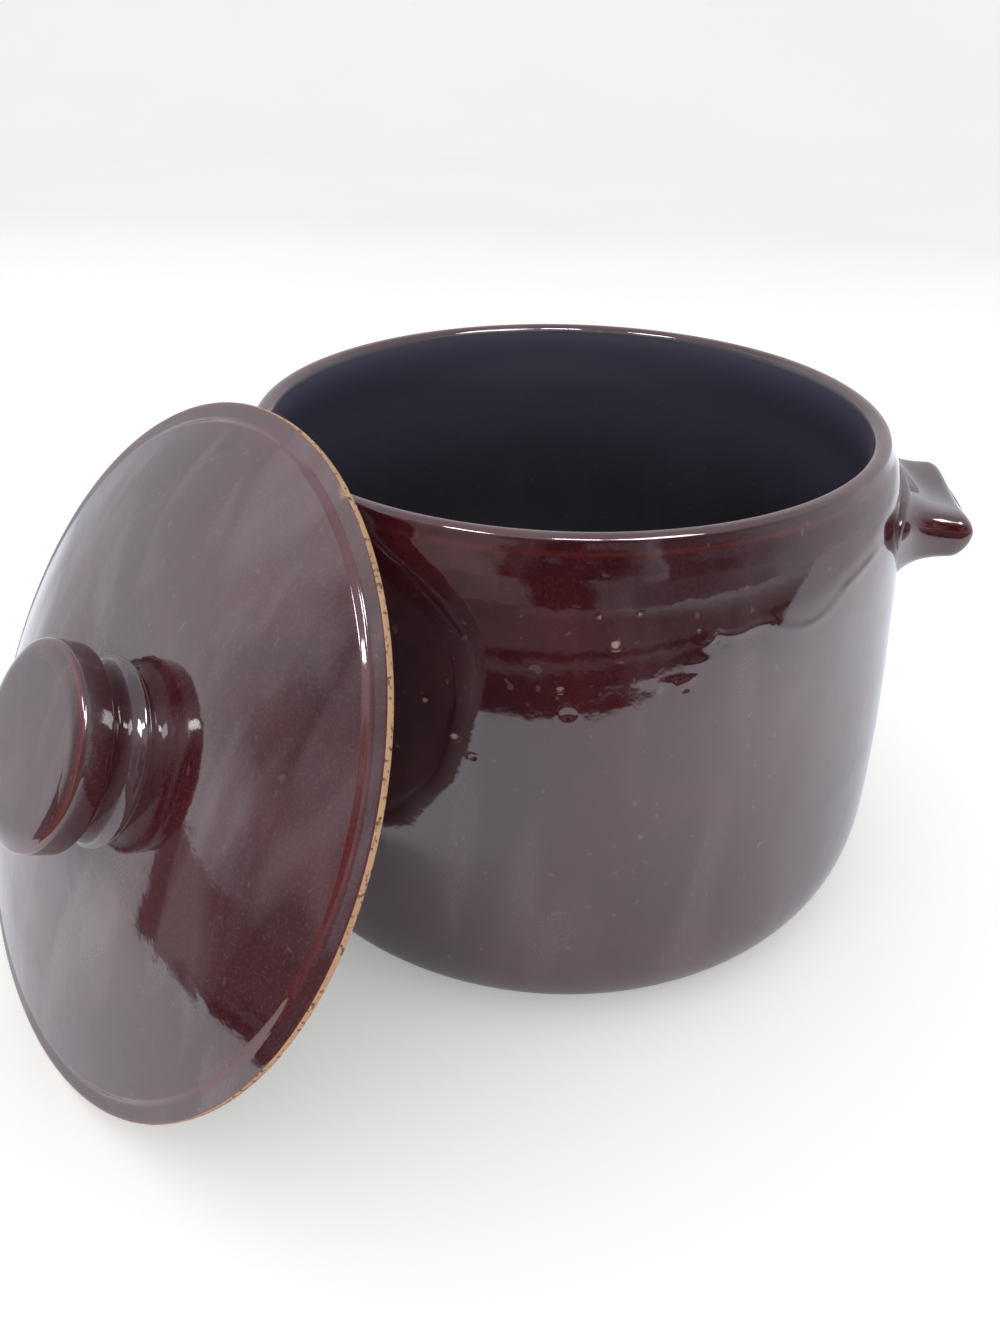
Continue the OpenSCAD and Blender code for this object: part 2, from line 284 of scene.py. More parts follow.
# Sizes in millimetres
POT_H, LIP_D, LIP_T, LIP_TURN = 131, 162, 5, 8
BELLY_R, BELLY_H, SHOULDER_R, SHOULDER_DROP = 92, 30, 87.8, 30
FOOT_R, WALL_T, FLOOR_T, CREASE, INNER_SWEEP = 73, 5, 7, 0.5, 20
SHOULDER_H = POT_H - SHOULDER_DROP
LIP_R, LIP_BEAD = LIP_D / 2, LIP_T / 2
LIP_C = (LIP_R - LIP_BEAD, POT_H - LIP_BEAD)
CREASE_H = LIP_C[1] - LIP_BEAD * math.sin(math.radians(LIP_TURN)) - CREASE
CREASE_R = LIP_C[0] + LIP_BEAD * math.cos(math.radians(LIP_TURN)) + CREASE * 0.6
SHOULDER_LEAN = -1.4 * (BELLY_R - SHOULDER_R) / (SHOULDER_H - BELLY_H)


def curve(a, b, c, d, steps):
    """Points along the curve that four points steer, without its first point."""
    made = []
    for i in range(1, steps + 1):
        t = i / steps
        made.append(tuple((1 - t) ** 3 * p + 3 * t * (1 - t) ** 2 * q + 3 * t * t * (1 - t) * r
                          + t ** 3 * s for p, q, r, s in zip(a, b, c, d)))
    return made


def arc(centre, radius, start, end, steps):
    """Points of an arc about a centre, angles in degrees."""
    angles = [math.radians(start + (end - start) * i / steps) for i in range(steps + 1)]
    return [(centre[0] + radius * math.cos(a), centre[1] + radius * math.sin(a)) for a in angles]


def wall(inset, top, steps):
    """The wall from the belly up to top, moved inwards by inset."""
    run, rise = SHOULDER_H - BELLY_H, top[1] - SHOULDER_H
    belly, shoulder = BELLY_R - inset, SHOULDER_R - inset
    return (curve((belly, BELLY_H), (belly, BELLY_H + 0.4 * run),
                  (shoulder - SHOULDER_LEAN * 0.35 * run, SHOULDER_H - 0.35 * run),
                  (shoulder, SHOULDER_H), steps)
            + curve((shoulder, SHOULDER_H),
                    (shoulder + SHOULDER_LEAN * 0.4 * rise, SHOULDER_H + 0.4 * rise),
                    (top[0] + 0.62 * (shoulder - top[0]), top[1] - 0.18 * rise), top, steps))


def turned(outline, turns):
    """A thrown form: an outline in millimetres out from the axis and up it, spun once round."""
    form = bmesh.new()
    points = [form.verts.new((r * MM, 0, z * MM)) for r, z in outline]
    edges = [form.edges.new(pair) for pair in zip(points, points[1:])]
    bmesh.ops.spin(form, geom=points + edges, cent=(0, 0, 0), axis=(0, 0, 1),
                   angle=2 * math.pi, steps=turns, use_merge=True)
    bmesh.ops.remove_doubles(form, verts=form.verts, dist=1e-6)
    bmesh.ops.recalc_face_normals(form, faces=form.faces)
    return form


def set_down(form, name, materials, body, cad_node):
    """The finished form as an object that stands for its CAD node and rides on its body."""
    mesh = bpy.data.meshes.new(name)
    for face in form.faces:
        face.smooth = True
    form.to_mesh(mesh)
    form.free()
    for material in materials:
        mesh.materials.append(material)
    piece = bpy.data.objects.new(name, mesh)
    bpy.context.scene.collection.objects.link(piece)
    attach(piece, body)
    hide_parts(cad_node)


def iron_glaze(name, deep, body, thin, crystal, stretch, satin, centre=(0, 0, 0), turn=(0, 0, 0)):
    """Dark iron-brown stoneware glaze, dipped and fired glossy: dense red-brown glass that breaks
    to rust where it runs thin over an edge, finely flecked with crystals and rippled like orange
    peel. A lead-rich glass mirrors more than plain glass. The pattern turns with the piece."""
    material, tree, out = finish_named(name)
    where = add(tree, "ShaderNodeMapping", {"vector_type": "TEXTURE"},
                {"Vector": add(tree, "ShaderNodeTexCoord").outputs["Object"],
                 "Location": centre, "Rotation": turn})
    here = where.outputs[0]
    # Pools and thin places some 35 mm across, from how the dip drained
    pools = add(tree, "ShaderNodeTexNoise", {},
                {"Vector": here, "Scale": 28.0, "Detail": 4.0, "Distortion": 0.8})
    depth = add(tree, "ShaderNodeMapRange", {},
                {"Value": pools.outputs[0], "From Min": 0.35, "From Max": 0.68})
    glaze = add(tree, "ShaderNodeMix", {"data_type": "RGBA"},
                {0: depth.outputs[0], 6: linear(deep), 7: linear(body)})
    # Crystals about 0.6 mm apart, paler than the glass round them
    crystals = add(tree, "ShaderNodeTexNoise", {},
                   {"Vector": here, "Scale": 1500.0, "Detail": 2.0})
    fleck = add(tree, "ShaderNodeMapRange", {},
                {"Value": crystals.outputs[0], "From Min": 0.5, "From Max": 0.8, "To Max": 0.18})
    flecked = add(tree, "ShaderNodeMix", {"data_type": "RGBA"},
                  {0: fleck.outputs[0], 6: glaze.outputs[2], 7: linear(crystal)})
    # Long faint streaks where the wet glaze drained or a cloth has rubbed
    drawn = add(tree, "ShaderNodeMapping", {},
                {"Vector": here, "Rotation": (0, 0, 0.35), "Scale": stretch})
    streaks = add(tree, "ShaderNodeTexNoise", {},
                  {"Vector": drawn.outputs[0], "Scale": 1.0, "Detail": 2.0, "Distortion": 0.7})
    haze = add(tree, "ShaderNodeMapRange", {},
               {"Value": streaks.outputs[0], "From Min": 0.5, "From Max": 0.68, "To Max": 0.32})
    hazy = add(tree, "ShaderNodeMix", {"data_type": "RGBA"},
               {0: haze.outputs[0], 6: flecked.outputs[2], 7: linear(crystal)})
    # Sparse specks a millimetre across, where dust or iron has burnt in
    dust = add(tree, "ShaderNodeTexNoise", {}, {"Vector": here, "Scale": 520.0, "Detail": 0.0})
    speck = add(tree, "ShaderNodeMapRange", {},
                {"Value": dust.outputs[0], "From Min": 0.78, "From Max": 0.83, "To Max": 0.3})
    specked = add(tree, "ShaderNodeMix", {"data_type": "RGBA"},
                  {0: speck.outputs[0], 6: hazy.outputs[2], 7: linear("#7a625c")})
    # It breaks to another colour where it is thin, and clay shows in the pinholes. In the liner
    # this mix is painted shade instead: dark deep in the pot, paler higher up the inner wall
    thinness_and_shade = add(tree, "ShaderNodeAttribute", {"attribute_name": "thin_glaze"}).outputs["Fac"]
    broken = add(tree, "ShaderNodeMix", {"data_type": "RGBA"},
                 {0: thinness_and_shade, 6: specked.outputs[2], 7: linear(thin)})
    pinhole = add(tree, "ShaderNodeAttribute", {"attribute_name": "bare_spot"}).outputs["Fac"]
    colour = add(tree, "ShaderNodeMix", {"data_type": "RGBA"},
                 {0: pinhole, 6: broken.outputs[2], 7: linear("#a98468")})
    # Ripple 9 mm across and orange peel 1.6 mm across, a few hundredths of a millimetre high
    ripple = add(tree, "ShaderNodeTexNoise", {},
                 {"Vector": here, "Scale": 110.0, "Detail": 1.0, "Distortion": 0.4})
    peel = add(tree, "ShaderNodeTexNoise", {}, {"Vector": here, "Scale": 620.0, "Detail": 1.0})
    rippled = add(tree, "ShaderNodeBump", {},
                  {"Height": ripple.outputs[0], "Strength": 1.0, "Distance": 0.00010})
    pitted = add(tree, "ShaderNodeBump", {},
                 {"Height": peel.outputs[0], "Strength": 1.0, "Distance": 0.000012,
                  "Normal": rippled.outputs[0]})
    gloss = add(tree, "ShaderNodeMapRange", {},
                {"Value": pinhole, "To Min": satin, "To Max": 0.8})
    shader = add(tree, "ShaderNodeBsdfPrincipled", {},
                 {"Base Color": colour.outputs[2], "Roughness": gloss.outputs[0], "IOR": 2.0,
                  "Normal": pitted.outputs[0]})
    tree.links.new(shader.outputs[0], out.inputs[0])
    return material


def bare_clay(name, pale, dark):
    """Unglazed stoneware where the glaze was wiped off: dry buff clay toasted in the kiln, with
    iron specks and grog of about a millimetre."""
    material, tree, out = finish_named(name)
    here = add(tree, "ShaderNodeTexCoord").outputs["Object"]
    toast = add(tree, "ShaderNodeTexNoise", {}, {"Vector": here, "Scale": 60.0, "Detail": 3.0})
    clay = add(tree, "ShaderNodeMix", {"data_type": "RGBA"},
               {0: toast.outputs[0], 6: linear(pale), 7: linear(dark)})
    specks = add(tree, "ShaderNodeTexNoise", {}, {"Vector": here, "Scale": 900.0, "Detail": 2.0})
    iron = add(tree, "ShaderNodeMapRange", {},
               {"Value": specks.outputs[0], "From Min": 0.55, "From Max": 0.66, "To Max": 0.85})
    colour = add(tree, "ShaderNodeMix", {"data_type": "RGBA"},
                 {0: iron.outputs[0], 6: clay.outputs[2], 7: linear("#4d2c1f")})
    grit = add(tree, "ShaderNodeBump", {},
               {"Height": specks.outputs[0], "Strength": 1.0, "Distance": 0.00008})
    shader = add(tree, "ShaderNodeBsdfPrincipled", {},
                 {"Base Color": colour.outputs[2], "Roughness": 0.85, "IOR": 1.5,
                  "Normal": grit.outputs[0]})
    tree.links.new(shader.outputs[0], out.inputs[0])
    return material


DRAINED = (60, 60, 12)     # streaks run down the wall
pot_glaze = iron_glaze("iron_glaze_pot", "#35131a", "#47171c", "#6d2a24", "#6a5054",
                       DRAINED, 0.06)
# Its thin colour is the pale tone of the painted light high on the inner wall
liner_glaze = iron_glaze("iron_glaze_liner", "#241e29", "#2e2836", "#59556e", "#3a3644",
                         DRAINED, 0.42)
foot_clay = bare_clay("bare_stoneware_foot", "#b79a7c", "#9c7a5c")

foot_line = [(0, 0), (30, 0), (60, 0), (FOOT_R - 2, 0), (FOOT_R, 0)]
foot_line += curve((FOOT_R, 0), (FOOT_R + 0.52 * (BELLY_R - FOOT_R), 0),
                   (BELLY_R, 0.32 * BELLY_H), (BELLY_R, BELLY_H), 26)
outside = foot_line + wall(0, (CREASE_R, CREASE_H), 56)
lip = arc(LIP_C, LIP_BEAD, -LIP_TURN, 180, 24)
inner_foot_r = FOOT_R - WALL_T
mouth_r = LIP_R - LIP_T
inside_line = [(r, FLOOR_T) for r in (0, 20, 40, 55, inner_foot_r)]
inside_line += curve((inner_foot_r, FLOOR_T), (inner_foot_r + 0.6 * (BELLY_R - FOOT_R), FLOOR_T),
                     (BELLY_R - WALL_T, FLOOR_T + 0.3 * (BELLY_H - FLOOR_T)),
                     (BELLY_R - WALL_T, BELLY_H), 16)
inside_line += wall(WALL_T, (mouth_r, LIP_C[1] - LIP_BEAD * 2), 16)
# Fingers have drawn the inside of the lip down into the wall without a ledge
throat_h = LIP_C[1] - INNER_SWEEP
inside_line = [p for p in inside_line if p[1] < throat_h]
below, last = inside_line[-2:]
slope = (last[0] - below[0]) / (last[1] - below[1])
inside_line += curve(last, (last[0] + 0.35 * slope * INNER_SWEEP, last[1] + 0.35 * INNER_SWEEP),
                     (mouth_r, LIP_C[1] - 0.4 * INNER_SWEEP), (mouth_r, LIP_C[1]), 20)[:-1]
# The glaze has filled the crease under the lip and rounded it over
CREASE_FROM, CREASE_TO, CREASE_ROUNDS = 123, 129.8, 22
rim_line = outside + lip
for _ in range(CREASE_ROUNDS):
    before, after = [rim_line[0]] + rim_line, rim_line[1:] + rim_line[-1:]
    rim_line = [((a[0] + 2 * b[0] + c[0]) / 4, (a[1] + 2 * b[1] + c[1]) / 4)
                if CREASE_FROM < b[1] < CREASE_TO and b[0] > LIP_C[0] else b
                for a, b, c in zip(before, rim_line, after)]
pot = turned(rim_line + inside_line[::-1], 288)

# Pinholes and blisters in the glaze: bearing, height and radius in mm, depth in mm (less than
# nothing for a blister), and how bare the clay in them is.
PITS = [(-81.6, 116.0, 0.5, 0.15, 0.6), (-76.2, 116.4, 0.5, 0.15, 0.6),
        (-79.3, 110.2, 0.9, 0.3, 1.0), (-105.2, 93.3, 0.55, 0.2, 0.9),
        (-100.7, 85.9, 0.75, 0.2, 0.9), (-85.2, 94.2, 1.5, 0.28, 0.0),
        (-69.2, 98.8, 0.7, 0.25, 0.0), (-98.0, 81.5, 0.7, 0.25, 0.0),
        (-86.4, 100.0, 0.5, 0.15, 0.4), (-67.8, 111.8, 0.45, 0.12, 0.3),
        (-65.3, 110.8, 0.4, 0.12, 0.3), (-54.0, 71.5, 0.4, -0.06, 0.3),
        (20.0, 84.0, 0.6, 0.2, 0.5), (74.0, 102.0, 0.7, 0.2, 0.8), (122.0, 61.0, 0.5, 0.15, 0.4),
        (160.0, 97.0, 0.9, 0.2, 0.3), (-140.0, 70.0, 0.6, 0.2, 0.6)]


def wall_radius(height):
    """Outside radius of the wall at that height, in mm."""
    for (r0, z0), (r1, z1) in zip(outside[4:], outside[5:]):
        if z0 <= height <= z1:
            return r0 + (r1 - r0) * (height - z0) / max(z1 - z0, 1e-9)
    return CREASE_R


def is_inside(r, z):
    """Whether the point at that radius and height is on the inner wall, below the lip."""
    in_lip = z < POT_H - 1.2 and r < LIP_C[0] - 0.8
    return z > FLOOR_T - 0.5 and (in_lip or z < CREASE_H - 4) and r < wall_radius(z) - 0.6 * WALL_T


# Where the second skin ends, as bearing and height: a drip beside the middle, then a wavy line
DIP_LINE = [(-72.4, 103.0), (-70.6, 99.8), (-68.4, 101.0), (-66.6, 108.0), (-65.1, 110.6),
            (-62.0, 109.4), (-58.1, 111.2), (-54.5, 108.6), (-51.0, 106.8), (-47.6, 107.0),
            (-44.6, 108.3), (-41.6, 111.6), (-39.1, 112.7), (-34.0, 114.6), (-28.3, 116.0)]
DRIP_BEARING, DRIP_LOW = -71.8, 112.5
DIP_SWELL = 0.16           # height of its swollen edge, in mm


def dip_edge(bearing, height):
    """How high the swollen edge of the second skin stands at that place, in mm."""
    edge = 0.0
    for (b0, z0), (b1, z1) in zip(DIP_LINE, DIP_LINE[1:]):
        if b0 <= bearing <= b1:
            line = z0 + (z1 - z0) * (bearing - b0) / (b1 - b0)
            fade = min(1.0, (bearing - DIP_LINE[0][0]) / 1.5, (DIP_LINE[-1][0] - bearing) / 6)
            edge = DIP_SWELL * fade * math.exp(-((height - line) / 1.0) ** 2)
    if DRIP_LOW < height < CREASE_H:
        run = min(1.0, (height - DRIP_LOW) / 2, (CREASE_H - height) / 2)
        edge = max(edge, DIP_SWELL * run * math.exp(-((bearing - DRIP_BEARING) / 0.9) ** 2))
    return edge


PIT_REACH = 2.2            # how far the swollen rim of a spot goes, in radii
spots = []
for bearing, height, radius, depth, bare in PITS:
    a = math.radians(bearing)
    centre = Vector((wall_radius(height) * math.cos(a), wall_radius(height) * math.sin(a),
                     height)) * MM
    spots.append((centre, radius * MM, depth * MM, bare))
# A finer mesh round each spot
close = {e for f in pot.faces for e in f.edges
         if any((f.calc_center_median() - s[0]).length < PIT_REACH * s[1] + 1.5 * MM
                for s in spots)}
bmesh.ops.subdivide_edges(pot, edges=list(close), cuts=3, use_grid_fill=True)

SWAY, FINGER_RINGS = 0.12, 0.03     # how far the wall sways and its rings stand, in mm
PAINTED_LIGHT_FROM, PAINTED_LIGHT_OVER = 72, 62       # where the painted light on the liner starts, above its painted shade, and how far up it grows
thin = pot.verts.layers.float.new("thin_glaze")
bare_spot = pot.verts.layers.float.new("bare_spot")
for v in pot.verts:
    r, z = math.hypot(v.co.x, v.co.y) / MM, v.co.z / MM
    out_dir = Vector((v.co.x, v.co.y, 0)).normalized()
    bearing = math.atan2(v.co.y, v.co.x)
    # The thrown wall is not quite round, and keeps soft finger rings; it only goes inwards
    if r > 30:
        sway = SWAY * (1 + math.sin(2 * bearing + 0.7 + z / 90)) * min(1, z / 40)
        rings = FINGER_RINGS * (1 + math.sin(z / 3.1 + 1.5 * noise.noise(v.co * 14)))
        v.co -= out_dir * (sway + rings * min(1, z / 20) * (z <= CREASE_H)) * MM
    if 90 < z < CREASE_H and r > wall_radius(z) - 1:
        v.co += out_dir * dip_edge(math.degrees(bearing), z) * MM
    # Glaze thins over the top of the lip and its outer crease
    over_lip = max(0.0, 1 - abs(z - POT_H) / 1.1) if r < LIP_R else 0.0
    over_crease = max(0.0, 1 - abs(z - CREASE_H) / 0.8) if r > LIP_C[0] else 0.0
    v[thin] = min(1.0, 0.35 * over_lip + 0.4 * over_crease)
    # Inside, painted shade: the liner is painted darker towards the floor and paler the higher up
    # the wall
    if is_inside(r, z):
        v[thin] = max(0.0, min((z - PAINTED_LIGHT_FROM) / PAINTED_LIGHT_OVER, 1.0, POT_H - 1.7 - z))
    for centre, radius, depth, bare in spots:
        away = (v.co - centre).length
        if away < PIT_REACH * radius and r > CREASE_R - 6 and z < CREASE_H + 3:
            near = away / radius
            dent = max(0.0, 1 - near * near)
            rim = 0.3 * math.exp(-((near - 1.25) / 0.35) ** 2)
            v.co -= out_dir * depth * (dent - rim)
            v[bare_spot] = max(v[bare_spot], bare * min(1.0, 1.6 * dent))
for face in pot.faces:
    middle = face.calc_center_median() / MM
    r = math.hypot(middle.x, middle.y)
    if middle.z < 0.05 and r < FOOT_R - 1:
        face.material_index = 2
    elif is_inside(r, middle.z):
        face.material_index = 1
set_down(pot, "glazed_pot", [pot_glaze, liner_glaze, foot_clay], "pot", "pot_body")

# ---- The handles: two lugs pressed from the same clay, luted to the wall and smoothed in, with
# a saddle for the thumb between two ridges. They were dipped in the glaze with the pot.

# Reach, length along the wall, thickness at the nose, drop below the lip, taper, saddle, flare
LUG_OUT, LUG_L, LUG_T, LUG_DROP = 16.2, 37, 15, 22
LUG_TAPER, LUG_SADDLE, LUG_FLARE = 4, 4.5, 11
# Length of the round nose, squareness of a ring, reach of the root and its depth in the wall
LUG_NOSE, LUG_SQUARE, LUG_ROOT, LUG_SINK = 4.2, 3.3, 3.2, 3
# Shares: of the taper below, of the flare that swells, of that swelling on top, of the
# thickness left at the tip and by which the tip stands high
LUG_GRIP, LUG_SWELL, LUG_CREST, LUG_TIP_T, LUG_TIP_UP = 0.7, 0.3, 0.25, 0.12, 0.05
LUG_HOLLOW = 0.8           # how far the middle of the nose draws in
LUG_WITHIN = 0.998         # keeps the nose just inside the source's facets
LUG_SIDES = 96
LUG_H = POT_H - LUG_DROP
LUG_WALL_R = wall_radius(LUG_H)


def power(x, p):
    """x to the power p, with the sign of x."""
    return math.copysign(abs(x) ** p, x)


def lug_point(s, a):
    """The point at angle a of the ring that stands s mm out from the wall, and how sharp it is."""
    body = max(s, 0) / LUG_OUT
    root = math.exp(-max(s + 0.6, 0) / LUG_ROOT)
    nose = math.sqrt(max(0.0004, 1 - (max(s - LUG_OUT + LUG_NOSE, 0) / LUG_NOSE) ** 2))
    half_l = LUG_L / 2 - LUG_NOSE * 0.55 * (1 - nose) + LUG_FLARE * root
    half_t = (LUG_T * (LUG_TIP_T + (1 - LUG_TIP_T) * nose) + LUG_TAPER * (1 - body) ** 1.6) / 2
    swell = LUG_SWELL * LUG_FLARE * root
    mid = (0.5 - LUG_GRIP) * LUG_TAPER * (1 - body) + LUG_TIP_UP * LUG_T * (1 - nose)
    dip = min(LUG_SADDLE * (1 - root) * (0.7 + 0.3 * nose), half_t)
    along, up = power(math.cos(a), 2 / LUG_SQUARE), power(math.sin(a), 2 / LUG_SQUARE)
    between = 1 - along * along
    side = half_l * along / LUG_WALL_R
    height = (LUG_H + mid + half_t * up + swell * up * (LUG_CREST if up > 0 else 1)
              - dip * max(up, 0) * between)
    reach = LUG_WALL_R + LUG_WITHIN * s - LUG_HOLLOW * body ** 2 * between
    sharp = 0.4 * (1 - root) * max(0, up) * abs(along) ** 3 + 0.15 * (1 - nose)
    return Vector((reach * math.cos(side), reach * math.sin(side), height)) * MM, sharp


def close_across(form, ring):
    """Closes a ring with short faces from its top to its bottom, so that the end stays curved."""
    half = len(ring) // 2
    rows = [set(ring[1:half]), set(ring[half + 1:])]
    sides = {e for row in rows for v in row for e in v.link_edges if e.other_vert(v) in row}
    bmesh.ops.bridge_loops(form, edges=list(sides))
    bmesh.ops.holes_fill(form, edges=form.edges, sides=3)


def lug(name, cad_node, bearing):
    """One handle, lofted outwards from inside the wall as rings that are bridged in turn."""
    form = bmesh.new()
    thin = form.verts.layers.float.new("thin_glaze")
    steps = [-LUG_SINK, -2, -1, -0.5, 0, 0.6, 1.2]
    root_end, nose_start = steps[-1], LUG_OUT - LUG_NOSE
    steps += [root_end + (nose_start - root_end) * i / 12 for i in range(1, 13)]
    steps += [nose_start + LUG_NOSE * math.sin(math.radians(90 * i / 12)) for i in range(1, 13)]
    before = None
    for s in steps:
        ring = bmesh.ops.create_circle(form, segments=LUG_SIDES, radius=1)["verts"]
        for i, v in enumerate(ring):
            v.co, v[thin] = lug_point(s, 2 * math.pi * i / LUG_SIDES)
        edges = list({e for v in ring for e in v.link_edges})
        if before:
            bmesh.ops.bridge_loops(form, edges=before + edges)
        else:
            close_across(form, ring)
        before = edges
    close_across(form, ring)
    bmesh.ops.recalc_face_normals(form, faces=form.faces)
    bmesh.ops.rotate(form, cent=(0, 0, 0), matrix=Matrix.Rotation(math.radians(bearing), 3, "Z"),
                     verts=form.verts)
    set_down(form, name, [pot_glaze], "pot", cad_node)


lug("right_lug", "right_handle", 0)
lug("left_lug", "left_handle", 180)

# ---- The lid: a shallow thrown dome with a rounded shoulder and a narrow brim, and a ring
# beneath that finds the mouth. Only its edge is wiped clean, so that it doesn't stick in the kiln.

LID_R, DOME_H, LID_T, EDGE_T = 82, 13.2, 6, 1.6
BRIM_W, BRIM_RISE, STEP_H = 4.4, 0.8, 1.2
RING_PLAY, RING_W, RING_DEPTH, RING_ROUND = 1.6, 7, 3.5, 1.2
NECK_R, NECK_FLARE, KNOB_OFF = 19.5, 2.4, 2.2       # the knob's seat, a little off the middle
EDGE_ROUND, REST_GAP = 0.5, 0.3
LEAN_BEARING, LEAN_SIDE = 226, -7.8
RING_R = LIP_R - LIP_T - RING_PLAY
RING_IN_R = RING_R - RING_W
KNOB_SEAT_R = NECK_R + NECK_FLARE
CROWN_R = KNOB_SEAT_R + KNOB_OFF
BRIM_R, BRIM_H = LID_R - BRIM_W, EDGE_T + BRIM_RISE
DOME_EDGE = (BRIM_R - STEP_H, BRIM_H + STEP_H)

# The lid stands on the table on its edge and leans with its locating ring on the lip
ring_touch = math.sqrt((RING_IN_R + RING_W / 2) ** 2 - LEAN_SIDE ** 2)
lean_reach = ring_touch + LID_R - EDGE_ROUND
lip_off = RING_DEPTH + REST_GAP + LIP_BEAD
lean_off = lip_off + EDGE_ROUND
lean = (math.asin((POT_H - LIP_BEAD - EDGE_ROUND) / math.hypot(lean_reach, lean_off))
        + math.atan(lean_off / lean_reach))
lid_out = LIP_C[0] + ring_touch * math.cos(lean) + lip_off * math.sin(lean)
lid_up = (LID_R - EDGE_ROUND) * math.sin(lean) + EDGE_ROUND * (1 - math.cos(lean))
bearing = math.radians(LEAN_BEARING)
lid_at = Vector((lid_out * math.cos(bearing) - LEAN_SIDE * math.sin(bearing),
                 lid_out * math.sin(bearing) + LEAN_SIDE * math.cos(bearing), lid_up)) * MM
lid_turn = Matrix.Rotation(bearing, 4, "Z") @ Matrix.Rotation(lean, 4, "Y")
leaning = Matrix.Translation(lid_at) @ lid_turn
lid_angles = tuple(lid_turn.to_euler("XYZ"))


def dome(lower, r_out, steps):
    """The dome from the flat crown under the knob out to a radius, moved down by lower."""
    fall, run = DOME_H - DOME_EDGE[1], DOME_EDGE[0] - CROWN_R
    radii = [CROWN_R + (r_out - CROWN_R) * i / steps for i in range(steps + 1)]
    return [(r, DOME_H - lower - fall * ((r - CROWN_R) / run) ** 2) for r in radii]


lid_glaze = iron_glaze("iron_glaze_lid", "#3b151c", "#4e1c22", "#7a3230", "#877176",
                       (16, 60, 40), 0.07, tuple(lid_at), lid_angles)
under_glaze = iron_glaze("iron_glaze_lid_inside", "#14121b", "#221a22", "#3a2026", "#2a2734",
                         (40, 40, 40), 0.2, tuple(lid_at), lid_angles)
edge_clay = bare_clay("bare_stoneware_edge", "#d6ac86", "#a98260")

top_line = [(0, DOME_H), (8, DOME_H)] + dome(0, DOME_EDGE[0], 50)
brim_start = (BRIM_R + 0.6 * STEP_H, BRIM_H - 0.3)
brim_end = (LID_R - EDGE_ROUND / 2, EDGE_T)
top_line += curve(DOME_EDGE, (DOME_EDGE[0] + 0.5 * STEP_H, DOME_EDGE[1] - 0.12 * STEP_H),
                  (BRIM_R - 0.3 * STEP_H, BRIM_H + 0.25 * STEP_H), brim_start, 14)
top_line += [tuple(p + (q - p) * i / 5 for p, q in zip(brim_start, brim_end))
             for i in range(1, 6)]
edge_line = [(LID_R, EDGE_T - EDGE_ROUND / 2), (LID_R, (EDGE_T + EDGE_ROUND) / 2)]
edge_line += arc((LID_R - EDGE_ROUND, EDGE_ROUND), EDGE_ROUND, 0, -90, 5)
under_line = [(RING_R + 3, 0), (RING_R + 1, 0), (RING_R, -1)]
under_line += arc((RING_R - RING_ROUND, RING_ROUND - RING_DEPTH), RING_ROUND, 0, -90, 6)
under_line += arc((RING_IN_R + RING_ROUND, RING_ROUND - RING_DEPTH), RING_ROUND, -90, -180, 6)
under_line += dome(LID_T, RING_IN_R, 24)[::-1] + [(0, DOME_H - LID_T)]
lid = turned(top_line + edge_line + under_line, 320)
CHIP_R, CHIP_DEPTH, CHIP_BEARING = 1.3, 0.5, 156.5
chip_at = Vector((LID_R * math.cos(math.radians(CHIP_BEARING)),
                  LID_R * math.sin(math.radians(CHIP_BEARING)), EDGE_T))
LID_WITHIN = 0.9996        # keeps the edge just inside the source's facets
SPIRAL = 0.03              # height of the finger's spiral, in mm

thin = lid.verts.layers.float.new("thin_glaze")
bare_spot = lid.verts.layers.float.new("bare_spot")
for v in lid.verts:
    v.co.xy *= LID_WITHIN
    r, z = math.hypot(v.co.x, v.co.y) / MM, v.co.z / MM
    # Glaze thins over the shoulder and, more so, at the very edge
    on_shoulder = 0.45 * math.exp(-((r - BRIM_R + 0.2) / 0.7) ** 2) if z > EDGE_T - 0.3 else 0.0
    at_edge = 0.6 * max(0.0, min(1.0, r - LID_R + 1.0)) if z > 0.9 * EDGE_T else 0.0
    v[thin] = max(on_shoulder, at_edge)
    # A small old chip in the upper part of the edge
    chipped = math.exp(-((v.co - chip_at * MM).length / MM / CHIP_R) ** 2)
    if chipped > 0.1 and r > LID_R - 3:
        v[bare_spot] = min(1.0, 1.5 * chipped)
        v[thin] = 0.0
        v.co -= Vector((v.co.x, v.co.y, 0)).normalized() * CHIP_DEPTH * MM * chipped
    # The dome keeps the faint spiral of the finger that smoothed it
    if z > BRIM_H and r > CROWN_R:
        v.co.z -= SPIRAL * MM * (1 + math.sin(r / 2.6 + math.atan2(v.co.y, v.co.x)
                                              + 2 * noise.noise(v.co * 16)))
for face in lid.faces:
    middle = face.calc_center_median() / MM
    r = math.hypot(middle.x, middle.y)
    if r > LID_R - 1.2 and middle.z < EDGE_T - 0.05:
        face.material_index = 1
    elif r < RING_R and middle.z < min(DOME_H - LID_T + 0.5, dome(LID_T / 2, r, 1)[-1][1]):
        face.material_index = 2
bmesh.ops.transform(lid, matrix=leaning, verts=lid.verts)
set_down(lid, "glazed_lid", [lid_glaze, edge_clay, under_glaze], "lid", "lid")

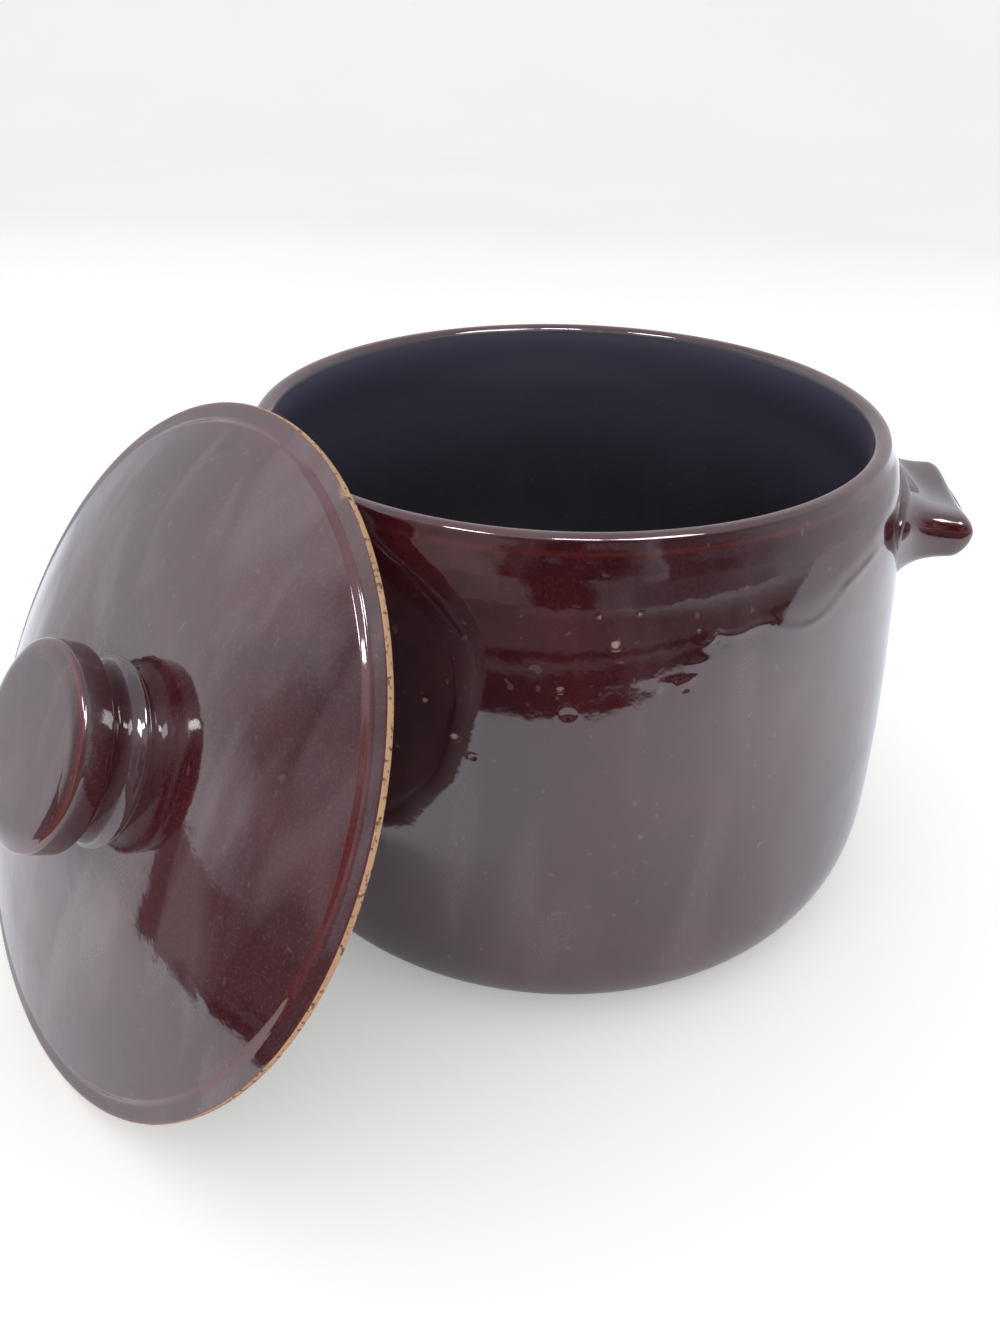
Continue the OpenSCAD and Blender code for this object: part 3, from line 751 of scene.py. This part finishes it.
# ---- The knob: a thick thrown disc on a waisted neck, luted to the crown of the lid before
# the two were glazed together. The glaze breaks to rust round both rims of its band.

KNOB_R, KNOB_BAND, KNOB_CROWN, KNOB_ROUND, NECK_H = 23.4, 7.6, 1.6, 1.3, 8.6
under_h, top_h = DOME_H + NECK_H, DOME_H + NECK_H + KNOB_BAND
waist = (NECK_R, DOME_H + 0.45 * NECK_H)
knob_line = [(0, DOME_H), (KNOB_SEAT_R, DOME_H)]
knob_line += curve((KNOB_SEAT_R, DOME_H), (KNOB_SEAT_R - 0.6 * NECK_FLARE, DOME_H + 0.1),
                   (NECK_R, DOME_H + 0.25 * NECK_H), waist, 14)
knob_line += curve(waist, (NECK_R, DOME_H + 0.8 * NECK_H),
                   (NECK_R + 0.35 * (KNOB_R - NECK_R), under_h - 0.3),
                   (KNOB_R - KNOB_ROUND, under_h), 18)
knob_line += arc((KNOB_R - KNOB_ROUND, under_h + KNOB_ROUND), KNOB_ROUND, -80, 0, 8)
knob_line += arc((KNOB_R - KNOB_ROUND, top_h - KNOB_ROUND), KNOB_ROUND, 0, 75, 8)
# Its top is almost flat, trimmed with a wide soft edge
flat_h = top_h + 0.6 * KNOB_CROWN
knob_line += curve(knob_line[-1], (0.9 * KNOB_R, top_h + 0.45 * KNOB_CROWN),
                   (0.84 * KNOB_R, flat_h), (0.72 * KNOB_R, flat_h), 14)
knob_line += [(0.5 * KNOB_R, flat_h + 0.08), (0.25 * KNOB_R, flat_h + 0.14), (0, flat_h + 0.16)]
knob = turned(knob_line, 160)
thin = knob.verts.layers.float.new("thin_glaze")
for v in knob.verts:
    r, z = math.hypot(v.co.x, v.co.y) / MM, v.co.z / MM
    rim = 0.6 * max(math.exp(-((z - top_h + 0.3) / 0.32) ** 2),
                    math.exp(-((z - under_h - 0.4) / 0.35) ** 2))
    v[thin] = rim if r > KNOB_R - 2.2 else 0.0
bmesh.ops.transform(knob, matrix=leaning @ Matrix.Translation((KNOB_OFF * MM, 0, 0)),
                    verts=knob.verts)
set_down(knob, "glazed_knob", [lid_glaze], "lid", "knob")
